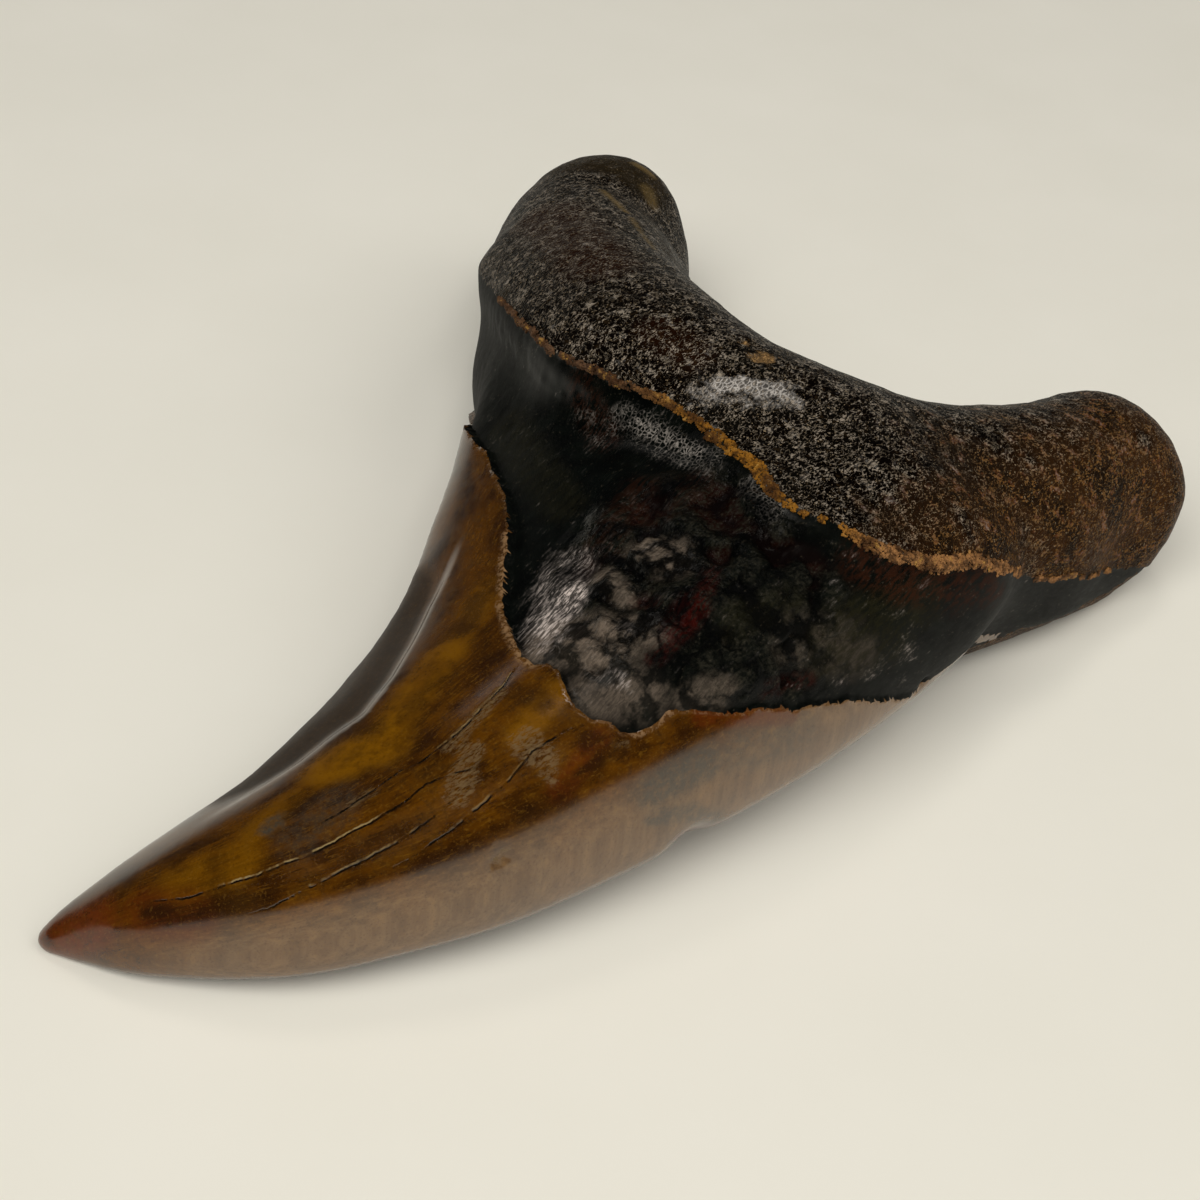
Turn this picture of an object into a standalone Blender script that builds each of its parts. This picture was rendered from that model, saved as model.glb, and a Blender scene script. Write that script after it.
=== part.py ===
"""A fossil shark tooth lying on its flat labial face, lingual face up: one solid, crown and two-lobed root.

Units in the tables are millimetres, and the mesh is made in metres. +Y runs from the crown's tip to the root,
+X towards the convex mesial edge, +Z up from the surface that the tooth rests on. The origin of the finished
part is the middle of its box, at the level of that surface.
"""

import math

import bmesh
import bpy
import numpy as np
from mathutils import Vector, noise

MM = 0.001

# Driving dimensions, in millimetres.
CROWN_RINGS = 48
ROOT_RINGS = 44
RING_POINTS = 72
VOXEL = 0.4
# The skin is smoothed a little on the crown and well on the root, changing over between these levels of y.
CROWN_BLEND, ROOT_BLEND, BLEND_FROM, BLEND_TO, BLEND_PASSES = 0.08, 0.58, -10, -2, 50
SOLID_TRIANGLES = 9200
# Faces this near to the resting surface lie flat on it.
FLAT_WITHIN = 0.04

# Stations down the crown, tip first: distal cutting edge, mesial cutting edge, lingual rise, labial fall.
CROWN_STATIONS = (
    ((-4.4, -36.6, 0.3), (-4.2, -36.7, 0.25), 0.3, 0.6),
    ((-4.4, -35.2, 1.0), (-1.9, -36.1, 0.5), 1.2, 1.1),
    ((-3.6, -33.1, 2.1), (1.6, -34.9, 1.0), 2.9, 1.3),
    ((-2.2, -29.4, 3.7), (6.8, -31.4, 1.8), 4.8, 1.4),
    ((-1.2, -25.3, 5.0), (10.7, -26.7, 2.6), 6.0, 1.9),
    ((-1.4, -19.6, 6.0), (13.5, -21.9, 3.4), 7.2, 2.5),
    ((-2.6, -13.9, 7.0), (16.0, -16.2, 4.3), 7.9, 3.2),
    ((-5.7, -7.3, 8.2), (18.1, -9.7, 5.2), 8.3, 4.0),
    ((-9.9, -0.2, 8.4), (20.2, -2.0, 6.4), 8.2, 4.8),
    ((-12.4, 6.1, 8.0), (20.8, 5.4, 7.4), 6.6, 5.2),
    ((-12.0, 10.0, 8.0), (17.0, 10.0, 7.5), 3.0, 5.0),
)
# How each face leaves the cutting edges: above 1 it flares out flat, below 1 it stands up steeply.
DISTAL_FLARE, MESIAL_FLARE, LABIAL_FLARE = 0.9, 0.4, 0.6

# Stations along the root, mesial lobe first: middle in plan, half width, lowest and highest level.
ROOT_STATIONS = (
    ((18.7, 25.4), 1.8, 4.6, 7.8),
    ((18.2, 22.6), 4.6, 0.4, 10.5),
    ((16.8, 17.4), 5.6, -0.5, 11.8),
    ((14.3, 10.2), 6.3, 0.2, 13.4),
    ((10.0, 5.2), 6.9, 1.0, 15.4),
    ((3.2, 2.8), 7.2, 1.2, 16.7),
    ((-3.9, 5.2), 7.2, 1.0, 16.3),
    ((-9.8, 11.2), 6.8, 0.2, 14.3),
    ((-14.6, 17.8), 6.1, -0.5, 12.3),
    ((-17.3, 24.2), 5.1, 0.4, 11.1),
    ((-18.2, 27.4), 2.2, 4.2, 7.8),
)
# The root is rounded on its lingual side, flatter on its labial side, and widest at this share of its height.
LINGUAL_SQUARENESS, LABIAL_SQUARENESS, WIDEST_LEVEL = 2.1, 3.0, 0.44
# Slow swells all over the root, and fainter ones over the crown.
SWELL_PITCH, ROOT_SWELL, CROWN_SWELL = 7.0, 0.45, 0.12

# Lines over the lingual face in plan: where the neck meets the root, and where the enamel ends on the neck.
NECK_LINE = (
    (-16.4, 9.4), (-12.5, 5.6), (-10.7, 3.7), (-7.5, 1.2), (-4.2, -0.6), (-0.6, -1.4), (5.5, -1.6),
    (7.5, -2.0), (10.2, -3.1), (12.5, -3.9), (14.5, -3.6), (16.4, -2.7), (18.5, -0.3), (20.2, 3.1),
    (21.0, 9.2), (22.2, 14.3),
)
ENAMEL_EDGE = (
    (-12.0, 1.5), (-8.5, -1.1), (-5.9, -3.2), (-2.0, -6.7), (2.9, -13.1), (5.5, -16.2), (8.0, -17.9),
    (12.0, -19.3), (13.7, -17.9), (14.4, -15.9), (16.2, -13.0), (17.5, -10.3), (18.6, -7.4), (19.9, -2.0),
    (21.5, 3.0),
)
# The enamel runs farther towards the root on the labial face.
LABIAL_EDGE = ((-15.0, 6.5), (-8.0, 3.0), (0.0, 1.0), (8.0, 0.5), (16.0, 2.5), (22.0, 6.5))

ENAMEL_STEP = 0.4
NECK_STEP = 0.3
# The hollow of the neck below the root, deeper under its distal corner.
NECK_HOLLOW, DISTAL_HOLLOW, HOLLOW_BELOW, HOLLOW_REACH = 0.3, 0.9, 2.4, 2.2
LEDGE_WIDTH = 0.45
LABIAL_STEP = 0.3

# The patch of the neck that is worn into lumps and pits.
WORN_CENTRE, WORN_RADII = (11.0, -10.0), (6.8, 7.4)
LUMP_PITCH, LUMP_HEIGHT = 2.6, 0.6
# Lumps are flat-topped from this share of the way out of the pits, and rise and fall slowly as a group.
LUMP_TOP, GROUP_PITCH, GROUP_HEIGHT = 0.6, 2.9, 0.6
# Hollows in the surface: middle in plan, radius, depth.
PORES = (((5.6, 3.8), 0.9, 0.35), ((3.6, 4.6), 0.6, 0.25), ((11.8, -24.6), 0.7, 0.2))
# Where the outline gives way: middle, radius, depth and direction. A nick in each cutting edge, and the pinch
# under the root's distal corner.
NICKS = (
    ((15.9, -15.6, 4.0), 1.0, 0.7, (-0.9, 0.4, 0.0)),
    ((-2.4, -17.0, 5.3), 0.8, 0.45, (1.0, 0.0, 0.0)),
    ((-16.4, 8.6, 5.4), 2.8, 0.7, (0.85, 0.5, 0.0)),
)
# Swellings and dips of the root, first the swollen distal corner just above the neck: middle, radius, height.
SWELLINGS = (
    ((-15.2, 9.4, 8.8), 3.0, 0.7),
    ((-14.8, 24.0, 10.3), 2.5, 0.4),
    ((-10.9, 20.8, 9.6), 2.6, -0.4),
    ((22.4, 21.8, 6.4), 2.4, 0.35),
    ((22.0, 16.6, 4.6), 2.8, -0.5),
    ((20.1, 9.1, 4.2), 2.6, -0.45),
)


def spline(rows, count):
    """Rows of numbers spread evenly along a smooth curve through the given rows."""
    rows = np.array(rows, float)
    padded = np.vstack([2 * rows[0] - rows[1], rows, 2 * rows[-1] - rows[-2]])
    made = []
    for place in np.linspace(0, len(rows) - 1, count):
        i = min(int(place), len(rows) - 2)
        t = place - i
        a, b, c, d = padded[i : i + 4]
        made.append(b + 0.5 * t * (c - a + t * (2 * a - 5 * b + 4 * c - d + t * (3 * b - a - 3 * c + d))))
    return np.array(made)


def dome(share, start, end):
    """A hump from 0 to 1 and back over share 0 to 1, with its own steepness at each foot."""
    top = start / (start + end)
    return (share / top) ** start * ((1 - share) / (1 - top)) ** end


def crown_ring(row):
    """One lens-shaped section of the crown: over the lingual face, and back under the labial face."""
    distal, mesial, rise, fall = Vector(row[0:3]), Vector(row[3:6]), row[6], row[7]
    across = (mesial - distal).normalized()
    up = (Vector((0, 0, 1)) - across * across.z).normalized()
    half = RING_POINTS // 2
    ring = []
    for i in range(half):
        share = (1 - math.cos(math.pi * i / half)) / 2
        ring.append(distal.lerp(mesial, share) + up * rise * dome(share, DISTAL_FLARE, MESIAL_FLARE))
    for i in range(half):
        share = (1 + math.cos(math.pi * i / half)) / 2
        ring.append(distal.lerp(mesial, share) - up * fall * dome(share, LABIAL_FLARE, LABIAL_FLARE))
    return ring


def root_ring(row, ahead):
    """One rounded section of the root, square to the way that the root runs in plan."""
    x, y, width, low, high = row
    side = Vector((ahead[1], -ahead[0], 0)).normalized()
    level = low + WIDEST_LEVEL * (high - low)
    ring = []
    for i in range(RING_POINTS):
        turn = 2 * math.pi * i / RING_POINTS
        c, s = math.cos(turn), math.sin(turn)
        power = 2 / (LINGUAL_SQUARENESS if s > 0 else LABIAL_SQUARENESS)
        out = math.copysign(abs(c) ** power, c) * width
        rise = abs(s) ** power * ((high if s > 0 else low) - level)
        ring.append(Vector((x, y, level + rise)) + side * out)
    return ring


def loft(bm, rings):
    """A closed skin through the rings, with a fan over each end."""
    made = [[bm.verts.new(point * MM) for point in ring] for ring in rings]
    count = len(rings[0])
    faces = []
    for a, b in zip(made, made[1:]):
        faces += [bm.faces.new((a[i], a[(i + 1) % count], b[(i + 1) % count], b[i])) for i in range(count)]
    for ring in (made[0], made[-1]):
        middle = bm.verts.new(sum((v.co for v in ring), Vector()) / count)
        faces += [bm.faces.new((ring[i], ring[(i + 1) % count], middle)) for i in range(count)]
    bmesh.ops.recalc_face_normals(bm, faces=faces)


def crown_and_root():
    """The two lofts in one mesh, pushed into each other but not yet joined."""
    crown_rows = [(*distal, *mesial, rise, fall) for distal, mesial, rise, fall in CROWN_STATIONS]
    root_rows = [(*middle, width, low, high) for middle, width, low, high in ROOT_STATIONS]
    root_rows = spline(root_rows, ROOT_RINGS)
    ways = np.gradient(root_rows[:, :2], axis=0)
    bm = bmesh.new()
    loft(bm, [crown_ring(row) for row in spline(crown_rows, CROWN_RINGS)])
    loft(bm, [root_ring(row, way) for row, way in zip(root_rows, ways)])
    mesh = bpy.data.meshes.new("lofts")
    bm.to_mesh(mesh)
    bm.free()
    return mesh


def through_modifier(mesh, kind, **settings):
    """The mesh that one modifier makes of the given mesh."""
    obj = bpy.data.objects.new(mesh.name, mesh)
    bpy.context.scene.collection.objects.link(obj)
    modifier = obj.modifiers.new(kind, kind)
    for name, value in settings.items():
        setattr(modifier, name, value)
    graph = bpy.context.evaluated_depsgraph_get()
    made = bpy.data.meshes.new_from_object(obj.evaluated_get(graph))
    bpy.data.objects.remove(obj)
    return made


def points_of(mesh):
    points = np.empty(len(mesh.vertices) * 3)
    mesh.vertices.foreach_get("co", points)
    return points.reshape(-1, 3) / MM


def normals_of(mesh, points):
    mesh.vertices.foreach_set("co", (points * MM).ravel())
    mesh.update()
    normals = np.empty(len(mesh.vertices) * 3)
    mesh.vertex_normals.foreach_get("vector", normals)
    return normals.reshape(-1, 3)


def relaxed(mesh, points, strength, passes):
    """Moves every point towards the mean of its neighbours, by its own strength, so many times."""
    edges = np.empty(len(mesh.edges) * 2, int)
    mesh.edges.foreach_get("vertices", edges)
    edges = edges.reshape(-1, 2)
    here, there = edges.ravel(), edges[:, ::-1].ravel()
    count = np.bincount(here)
    for _ in range(passes):
        means = [np.bincount(here, points[there, axis]) / count for axis in range(3)]
        points = points + (np.stack(means, 1) - points) * strength[:, None]
    return points


def step(values, low, high):
    """0 below low, 1 above high, and a soft slope between."""
    t = np.clip((values - low) / (high - low), 0, 1)
    return t * t * (3 - 2 * t)


def gap_to(line, points):
    """How far each point lies from the line in plan: above 0 on the root's side, below 0 on the tip's."""
    xs, ys = np.array(line, float).T
    level = np.interp(points[:, 0], xs, ys)
    slope = (np.interp(points[:, 0] + 1, xs, ys) - np.interp(points[:, 0] - 1, xs, ys)) / 2
    return (points[:, 1] - level) / np.sqrt(1 + slope**2)


def lumps(points):
    """Rounded lumps with narrow pits between, as cells of the given pitch: about -0.5 to 0.5."""
    heights = []
    for point in points:
        near, _ = noise.voronoi(Vector(point) / LUMP_PITCH)
        lump = min(near[1] - near[0], LUMP_TOP) / LUMP_TOP - 0.5
        heights.append(lump + GROUP_HEIGHT * noise.noise(Vector(point) / GROUP_PITCH))
    return np.array(heights)


def relief(points, normals):
    """How far the surface stands out of the smooth form: the ledges, the neck's hollow, lumps and pores."""
    x, y, _ = points.T
    lingual = step(normals[:, 2], -0.25, 0.1)
    neck, enamel = gap_to(NECK_LINE, points), gap_to(ENAMEL_EDGE, points)
    on_neck = step(-neck, -LEDGE_WIDTH / 2, LEDGE_WIDTH / 2) * step(enamel, -LEDGE_WIDTH / 2, LEDGE_WIDTH / 2)
    hollow = np.exp(-(((neck + HOLLOW_BELOW) / HOLLOW_REACH) ** 2))
    hollow *= NECK_HOLLOW * step(-x, -19, -15) + DISTAL_HOLLOW * step(-x, 4, 9)
    depth = ENAMEL_STEP + (NECK_STEP - ENAMEL_STEP) * step(neck, -3, 0) + hollow
    out = -lingual * on_neck * depth
    reach = ((x - WORN_CENTRE[0]) / WORN_RADII[0]) ** 2 + ((y - WORN_CENTRE[1]) / WORN_RADII[1]) ** 2
    worn = (1 - step(reach, 0.5, 1.1)) * on_neck * lingual * step(-neck, 0.3, 1.5) * step(enamel, 0.3, 1.2)
    some = worn > 0.01
    out[some] += worn[some] * LUMP_HEIGHT * lumps(points[some])
    for (pore_x, pore_y), radius, deep in PORES:
        out -= lingual * deep * np.exp(-((x - pore_x) ** 2 + (y - pore_y) ** 2) / radius**2)
    out -= (1 - lingual) * LABIAL_STEP * step(gap_to(LABIAL_EDGE, points), -LEDGE_WIDTH / 2, LEDGE_WIDTH / 2)
    for middle, radius, height in SWELLINGS:
        out += height * np.exp(-((points - middle) ** 2).sum(1) / radius**2)
    on_root = step(neck, 0, 2)
    slow = np.array([noise.noise(Vector(point) / SWELL_PITCH) for point in points])
    return out + slow * (CROWN_SWELL + (ROOT_SWELL - CROWN_SWELL) * on_root)


def nicked(points):
    for middle, radius, deep, way in NICKS:
        near = np.exp(-((points - middle) ** 2).sum(1) / radius**2)
        points = points + near[:, None] * deep * np.array(way)
    return points


def tooth_mesh():
    mesh = through_modifier(crown_and_root(), "REMESH", mode="VOXEL", voxel_size=VOXEL * MM)
    points = points_of(mesh)
    blend = CROWN_BLEND + (ROOT_BLEND - CROWN_BLEND) * step(points[:, 1], BLEND_FROM, BLEND_TO)
    points = relaxed(mesh, points, blend, BLEND_PASSES)
    normals = normals_of(mesh, points)
    points = nicked(points + normals * relief(points, normals)[:, None])
    points[:, 2] = np.maximum(points[:, 2], 0)
    mesh.vertices.foreach_set("co", (points * MM).ravel())
    mesh.calc_loop_triangles()
    return through_modifier(mesh, "DECIMATE", ratio=SOLID_TRIANGLES / len(mesh.loop_triangles))


def settle(mesh):
    """Puts the lowest faces exactly on the resting surface and the middle of the box over the origin."""
    points = points_of(mesh)
    points[:, 2] = np.where(points[:, 2] < FLAT_WITHIN, 0, points[:, 2])
    points[:, :2] -= (points[:, :2].max(0) + points[:, :2].min(0)) / 2
    mesh.vertices.foreach_set("co", (points * MM).ravel())
    mesh.update()


def fossil_material():
    material = bpy.data.materials.new("fossil_tooth")
    material.use_nodes = True
    shader = material.node_tree.nodes["Principled BSDF"]
    shader.inputs["Base Color"].default_value = (0.09, 0.05, 0.02, 1)
    shader.inputs["Roughness"].default_value = 0.35
    return material


def main():
    for obj in list(bpy.data.objects):
        bpy.data.objects.remove(obj)
    mesh = tooth_mesh()
    mesh.name = "tooth"
    settle(mesh)
    mesh.shade_smooth()
    mesh.materials.append(fossil_material())
    tooth = bpy.data.objects.new("tooth", mesh)
    bpy.context.scene.collection.objects.link(tooth)


main()
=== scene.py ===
"""Looks of a fossil shark tooth: glossy amber crown, polished dark neck, ochre crust, grainy root."""

import math
from functools import partial

import bmesh
import bpy
import numpy as np
from mathutils import Matrix, Vector, noise
from mathutils.bvhtree import BVHTree


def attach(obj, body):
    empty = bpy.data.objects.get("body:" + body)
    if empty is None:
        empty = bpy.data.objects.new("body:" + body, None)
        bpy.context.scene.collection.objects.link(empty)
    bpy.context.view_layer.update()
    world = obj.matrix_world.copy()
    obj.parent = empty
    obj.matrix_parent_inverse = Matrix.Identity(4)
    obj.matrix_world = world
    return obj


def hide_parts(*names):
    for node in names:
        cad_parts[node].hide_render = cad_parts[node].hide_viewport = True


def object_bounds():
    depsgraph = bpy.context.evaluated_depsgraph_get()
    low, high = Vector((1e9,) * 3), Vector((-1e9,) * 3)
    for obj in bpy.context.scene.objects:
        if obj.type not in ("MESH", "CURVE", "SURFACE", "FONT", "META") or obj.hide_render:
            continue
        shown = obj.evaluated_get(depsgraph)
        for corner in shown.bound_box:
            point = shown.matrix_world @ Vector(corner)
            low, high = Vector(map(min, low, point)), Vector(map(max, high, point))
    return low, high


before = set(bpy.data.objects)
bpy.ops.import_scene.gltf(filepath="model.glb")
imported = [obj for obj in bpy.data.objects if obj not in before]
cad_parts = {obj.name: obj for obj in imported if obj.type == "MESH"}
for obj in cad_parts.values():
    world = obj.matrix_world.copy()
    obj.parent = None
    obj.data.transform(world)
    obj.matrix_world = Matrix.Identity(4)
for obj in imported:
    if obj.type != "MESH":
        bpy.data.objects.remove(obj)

MM = 0.001
cad_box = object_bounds()

# ----------------------------------------------------------------------------------------------------
# The smooth form, from the same stations as the solid. Millimetres in the tooth's own frame: +Y from tip to
# root, +X to the mesial edge, +Z up. MIDDLE is where the solid's box is centred in that frame.
# ----------------------------------------------------------------------------------------------------
MIDDLE = np.array((0.48305374, -4.41437308, 0.0))
CROWN_RINGS, ROOT_RINGS, RING_POINTS = 96, 88, 144
# Faces of the solid and of this skin, in millimetres. The skin stays under 200,000 triangles.
SOLID_VOXEL, VOXEL = 0.4, 0.34
CROWN_BLEND, ROOT_BLEND, BLEND_FROM, BLEND_TO, BLEND_PASSES = 0.08, 0.58, -10, -2, 50

# Down the crown, tip first: distal cutting edge, mesial cutting edge, lingual rise, labial fall.
CROWN_STATIONS = (
    ((-4.4, -36.6, 0.3), (-4.2, -36.7, 0.25), 0.3, 0.6),
    ((-4.4, -35.2, 1.0), (-1.9, -36.1, 0.5), 1.2, 1.1),
    ((-3.6, -33.1, 2.1), (1.6, -34.9, 1.0), 2.9, 1.3),
    ((-2.2, -29.4, 3.7), (6.8, -31.4, 1.8), 4.8, 1.4),
    ((-1.2, -25.3, 5.0), (10.7, -26.7, 2.6), 6.0, 1.9),
    ((-1.4, -19.6, 6.0), (13.5, -21.9, 3.4), 7.2, 2.5),
    ((-2.6, -13.9, 7.0), (16.0, -16.2, 4.3), 7.9, 3.2),
    ((-5.7, -7.3, 8.2), (18.1, -9.7, 5.2), 8.3, 4.0),
    ((-9.9, -0.2, 8.4), (20.2, -2.0, 6.4), 8.2, 4.8),
    ((-12.4, 6.1, 8.0), (20.8, 5.4, 7.4), 6.6, 5.2),
    ((-12.0, 10.0, 8.0), (17.0, 10.0, 7.5), 3.0, 5.0),
)
DISTAL_FLARE, MESIAL_FLARE, LABIAL_FLARE = 0.9, 0.4, 0.6
# Along the root, mesial lobe first: middle in plan, half width, lowest and highest level.
ROOT_STATIONS = (
    ((18.7, 25.4), 1.8, 4.6, 7.8),
    ((18.2, 22.6), 4.6, 0.4, 10.5),
    ((16.8, 17.4), 5.6, -0.5, 11.8),
    ((14.3, 10.2), 6.3, 0.2, 13.4),
    ((10.0, 5.2), 6.9, 1.0, 15.4),
    ((3.2, 2.8), 7.2, 1.2, 16.7),
    ((-3.9, 5.2), 7.2, 1.0, 16.3),
    ((-9.8, 11.2), 6.8, 0.2, 14.3),
    ((-14.6, 17.8), 6.1, -0.5, 12.3),
    ((-17.3, 24.2), 5.1, 0.4, 11.1),
    ((-18.2, 27.4), 2.2, 4.2, 7.8),
)
LINGUAL_SQUARENESS, LABIAL_SQUARENESS, WIDEST_LEVEL = 2.1, 3.0, 0.44
SWELL_PITCH, ROOT_SWELL, CROWN_SWELL = 7.0, 0.45, 0.12
# Nicks: middle, radius, depth, way in. Swellings: middle, radius, height.
NICKS = (
    ((15.9, -15.6, 4.0), 1.0, 0.7, (-0.9, 0.4, 0.0)),
    ((-2.4, -17.0, 5.3), 0.8, 0.45, (1.0, 0.0, 0.0)),
    ((-16.4, 8.6, 5.4), 2.8, 0.7, (0.85, 0.5, 0.0)),
)
SWELLINGS = (
    ((-15.2, 9.4, 8.8), 3.0, 0.7),
    ((-14.8, 24.0, 10.3), 2.5, 0.4),
    ((-10.9, 20.8, 9.6), 2.6, -0.4),
    ((22.4, 21.8, 6.4), 2.4, 0.35),
    ((22.0, 16.6, 4.6), 2.8, -0.5),
    ((20.1, 9.1, 4.2), 2.6, -0.45),
)
# Corners between crown and root that the real tooth has worn round: middle and radius.
SOFTENED = (((-15.2, 7.8, 9.6), 2.4), ((20.3, 5.5, 7.5), 4.5))
# Where the enamel ends on the labial side, in plan.
LABIAL_EDGE = ((-15.0, 6.5), (-8.0, 3.0), (0.0, 1.0), (8.0, 0.5), (16.0, 1.8), (22.0, 3.4))
HOLLOW_BELOW, HOLLOW_REACH, NECK_HOLLOW, DISTAL_HOLLOW = 2.4, 2.2, 0.3, 0.2
# Steps in the surface, in millimetres: under the neck line, under the enamel's edge, at the distal flange, at
# the labial end of the enamel, and at a crack's raised lip. Then the neck's fibres, and where the arch is.
NECK_STEP, ENAMEL_STEP, FLANGE_STEP, LABIAL_STEP, CRACK_STEP = 0.38, 0.12, 0.2, 0.3, 0.02
FIBRE_HEIGHT, FIBRE_PITCH = 0.007, 0.42
ARCH_MIDDLE = 3

# ----------------------------------------------------------------------------------------------------
# The photograph's camera, in the tooth's frame, and what it shows, as pixels of a 1200 x 1200 picture. Each
# pixel is carried along its ray onto the smooth form, so every mark ends up as a place on the tooth itself.
# ----------------------------------------------------------------------------------------------------
PICTURE, VIEW_ANGLE, LENS_SENSOR = 1200, 30.0, 36.0
# How many millimetres a pixel covers on the tooth.
PIXEL = 0.051
CAMERA = Vector((49.79, -79.67, 74.65))
TURN, TILT, ROLL = math.radians(32), math.radians(38.47), math.radians(6.465)

ENAMEL_EDGE = (
    (462, 420), (466, 430), (475, 443), (485, 450), (490, 465), (497, 480), (505, 495), (508, 520), (508, 545),
    (504, 565), (503, 590), (503, 610), (508, 628), (515, 642), (522, 655), (532, 664), (548, 663), (558, 670),
    (563, 685), (570, 700), (579, 711), (590, 718), (600, 721), (612, 723), (620, 733), (635, 733), (648, 728),
    (657, 722), (667, 713), (679, 709), (700, 710), (720, 712), (738, 712), (752, 708), (775, 708), (799, 710),
    (808, 704), (830, 703), (850, 700), (880, 701), (905, 699), (925, 690), (938, 684),
)
NECK_LINE = (
    (499, 299), (510, 310), (520, 322), (535, 335), (550, 350), (570, 360), (590, 368), (610, 377), (620, 383),
    (640, 390), (660, 398), (680, 410), (700, 422), (715, 435), (730, 447), (745, 455), (757, 465), (765, 478),
    (772, 490), (785, 500), (800, 512), (820, 517), (840, 525), (850, 532), (865, 540), (880, 548), (900, 554),
    (920, 560), (940, 565), (960, 563), (980, 560), (1000, 569), (1020, 574), (1040, 581), (1055, 581), (1070, 577),
    (1090, 578), (1108, 576),
)
# Hairline cracks down the crown, upper end first.
CRACKS = (
    ((521, 661), (504, 685), (484, 707), (463, 730), (441, 747), (420, 762), (395, 774), (374, 790), (336, 816),
     (311, 829), (298, 841)),
    ((487, 765), (446, 776), (428, 783), (405, 801), (374, 821), (341, 839), (313, 854), (260, 875), (229, 885),
     (183, 899), (140, 902)),
    ((462, 790), (444, 809), (411, 834), (400, 841), (362, 862), (331, 877), (310, 887), (280, 903), (249, 915)),
    ((576, 724), (533, 752), (510, 780), (486, 802), (457, 826), (408, 860), (385, 872)),
)
# The crease where the distal cutting edge's flange starts.
FLANGE = ((470, 520), (452, 560), (430, 605), (413, 640), (392, 676), (362, 714), (331, 734), (298, 760),
          (260, 785), (215, 815), (170, 845))
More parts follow.
